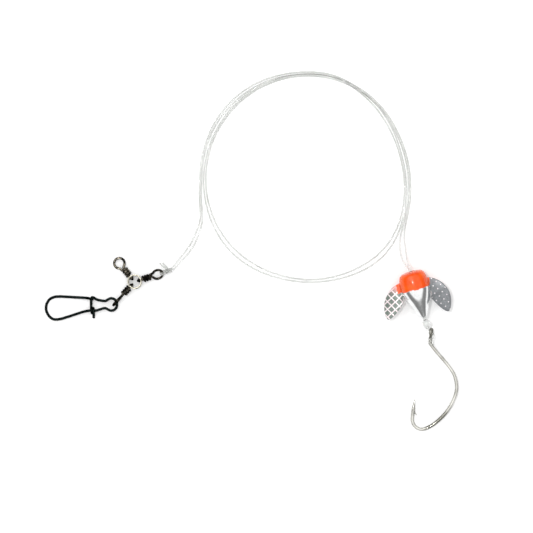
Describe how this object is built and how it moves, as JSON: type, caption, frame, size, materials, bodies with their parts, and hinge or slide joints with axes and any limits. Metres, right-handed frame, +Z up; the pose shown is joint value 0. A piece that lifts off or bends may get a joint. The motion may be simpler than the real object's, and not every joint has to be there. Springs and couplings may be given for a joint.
{
  "type": "spinning float rig",
  "caption": "Trolling rig for bait: lock snap and three-way swivel, doubled clear leader laid in a coil, winged spinning float, bead and snelled wide-gap hook.",
  "frame": {"origin": "on the surface the rig lies on, under the middle of the box round its hardware (snap, swivel, float, bead and hook, the leader left out)", "axes": "+Z up from the surface, +X from the snap at one end towards the float and hook at the other, +Y from the hardware towards the coil of leader"},
  "size_m": [0.1818, 0.1582, 0.0133],
  "materials": {
    "black_nickel": "black-nickel plated spring wire, semi-gloss",
    "hub_metal": "plated brass strip, worn bright on the rims",
    "clear_line": "clear nylon monofilament",
    "float_shell": "moulded float, gloss orange-red nose over a bright metallised tail",
    "wing_film": "thin holographic polyester film with a diamond lattice",
    "clear_bead": "clear moulded bead",
    "hook_nickel": "bright nickel-plated hook wire"
  },
  "bodies": {
    "leader": {"leader_coil": "clear_line", "leader_swivel_side_a": "clear_line", "leader_swivel_side_b": "clear_line", "leader_lure_side_a": "clear_line", "leader_lure_side_b": "clear_line", "knot_loop": "clear_line", "swivel_knot": "clear_line", "tag_end_a": "clear_line", "tag_end_b": "clear_line"},
    "line_arm": {"swivel_line_arm": "black_nickel"},
    "hub": {"swivel_hub": "hub_metal"},
    "free_arm": {"swivel_free_arm": "black_nickel"},
    "snap_arm": {"swivel_snap_arm": "black_nickel"},
    "snap": {"snap_wire": "black_nickel"},
    "latch": {"snap_latch": "black_nickel"},
    "float": {"float_body": "float_shell"},
    "wing_left": {"wing_left": "wing_film"},
    "wing_right": {"wing_right": "wing_film"},
    "bead": {"bead": "clear_bead"},
    "hook": {"hook": "hook_nickel", "snell_wraps": "clear_line"}
  },
  "joints": [
    {"name": "swivel_link", "type": "hinge", "parent": "leader", "child": "line_arm", "pos_m": [-0.03911, 0.03128, 0.00219], "axis": [-0.2482, 0.7801, 0.5743], "range_deg": [-35, 35]},
    {"name": "hub_spin", "type": "hinge", "parent": "line_arm", "child": "hub", "pos_m": [-0.05136, 0.02731, 0.00228], "axis": [0.9514, 0.3079, -0.0071], "continuous": true},
    {"name": "free_arm_spin", "type": "hinge", "parent": "hub", "child": "free_arm", "pos_m": [-0.05136, 0.02731, 0.00228], "axis": [-0.6333, 0.77, -0.0777], "continuous": true},
    {"name": "snap_arm_spin", "type": "hinge", "parent": "hub", "child": "snap_arm", "pos_m": [-0.05136, 0.02731, 0.00228], "axis": [-0.6702, -0.7405, 0.0492], "continuous": true},
    {"name": "snap_swing", "type": "hinge", "parent": "snap_arm", "child": "snap", "pos_m": [-0.06066, 0.01703, 0.00296], "axis": [-0.0198, 0.0842, 0.9963], "range_deg": [-50, 90]},
    {"name": "latch_flex", "type": "hinge", "parent": "snap", "child": "latch", "pos_m": [-0.09036, 0.01572, 0.00053], "axis": [-0.0148, 0.9999, 0], "range_deg": [-20, 0], "stiffness_Nm_per_rad": 0.05},
    {"name": "float_spin", "type": "hinge", "parent": "leader", "child": "float", "pos_m": [0.07267, 0.02225, 0.00651], "axis": [0.2898, -0.9539, -0.0785], "continuous": true},
    {"name": "wing_left_flex", "type": "hinge", "parent": "float", "child": "wing_left", "pos_m": [0.06631, 0.02459, 0.00684], "axis": [0.2898, -0.9539, -0.0785], "range_deg": [-12, 12], "stiffness_Nm_per_rad": 0.002},
    {"name": "wing_right_flex", "type": "hinge", "parent": "float", "child": "wing_right", "pos_m": [0.07679, 0.02726, 0.0068], "axis": [0.2898, -0.9539, -0.0785], "range_deg": [-12, 12], "stiffness_Nm_per_rad": 0.002},
    {"name": "bead_spin", "type": "hinge", "parent": "leader", "child": "bead", "pos_m": [0.07673, 0.0089, 0.00542], "axis": [0.2898, -0.9539, -0.0785], "continuous": true},
    {"name": "hook_swing", "type": "hinge", "parent": "leader", "child": "hook", "pos_m": [0.07897, 0.00514, 0.005], "axis": [0, -0.0993, 0.9951], "range_deg": [-25, 25]}
  ]
}
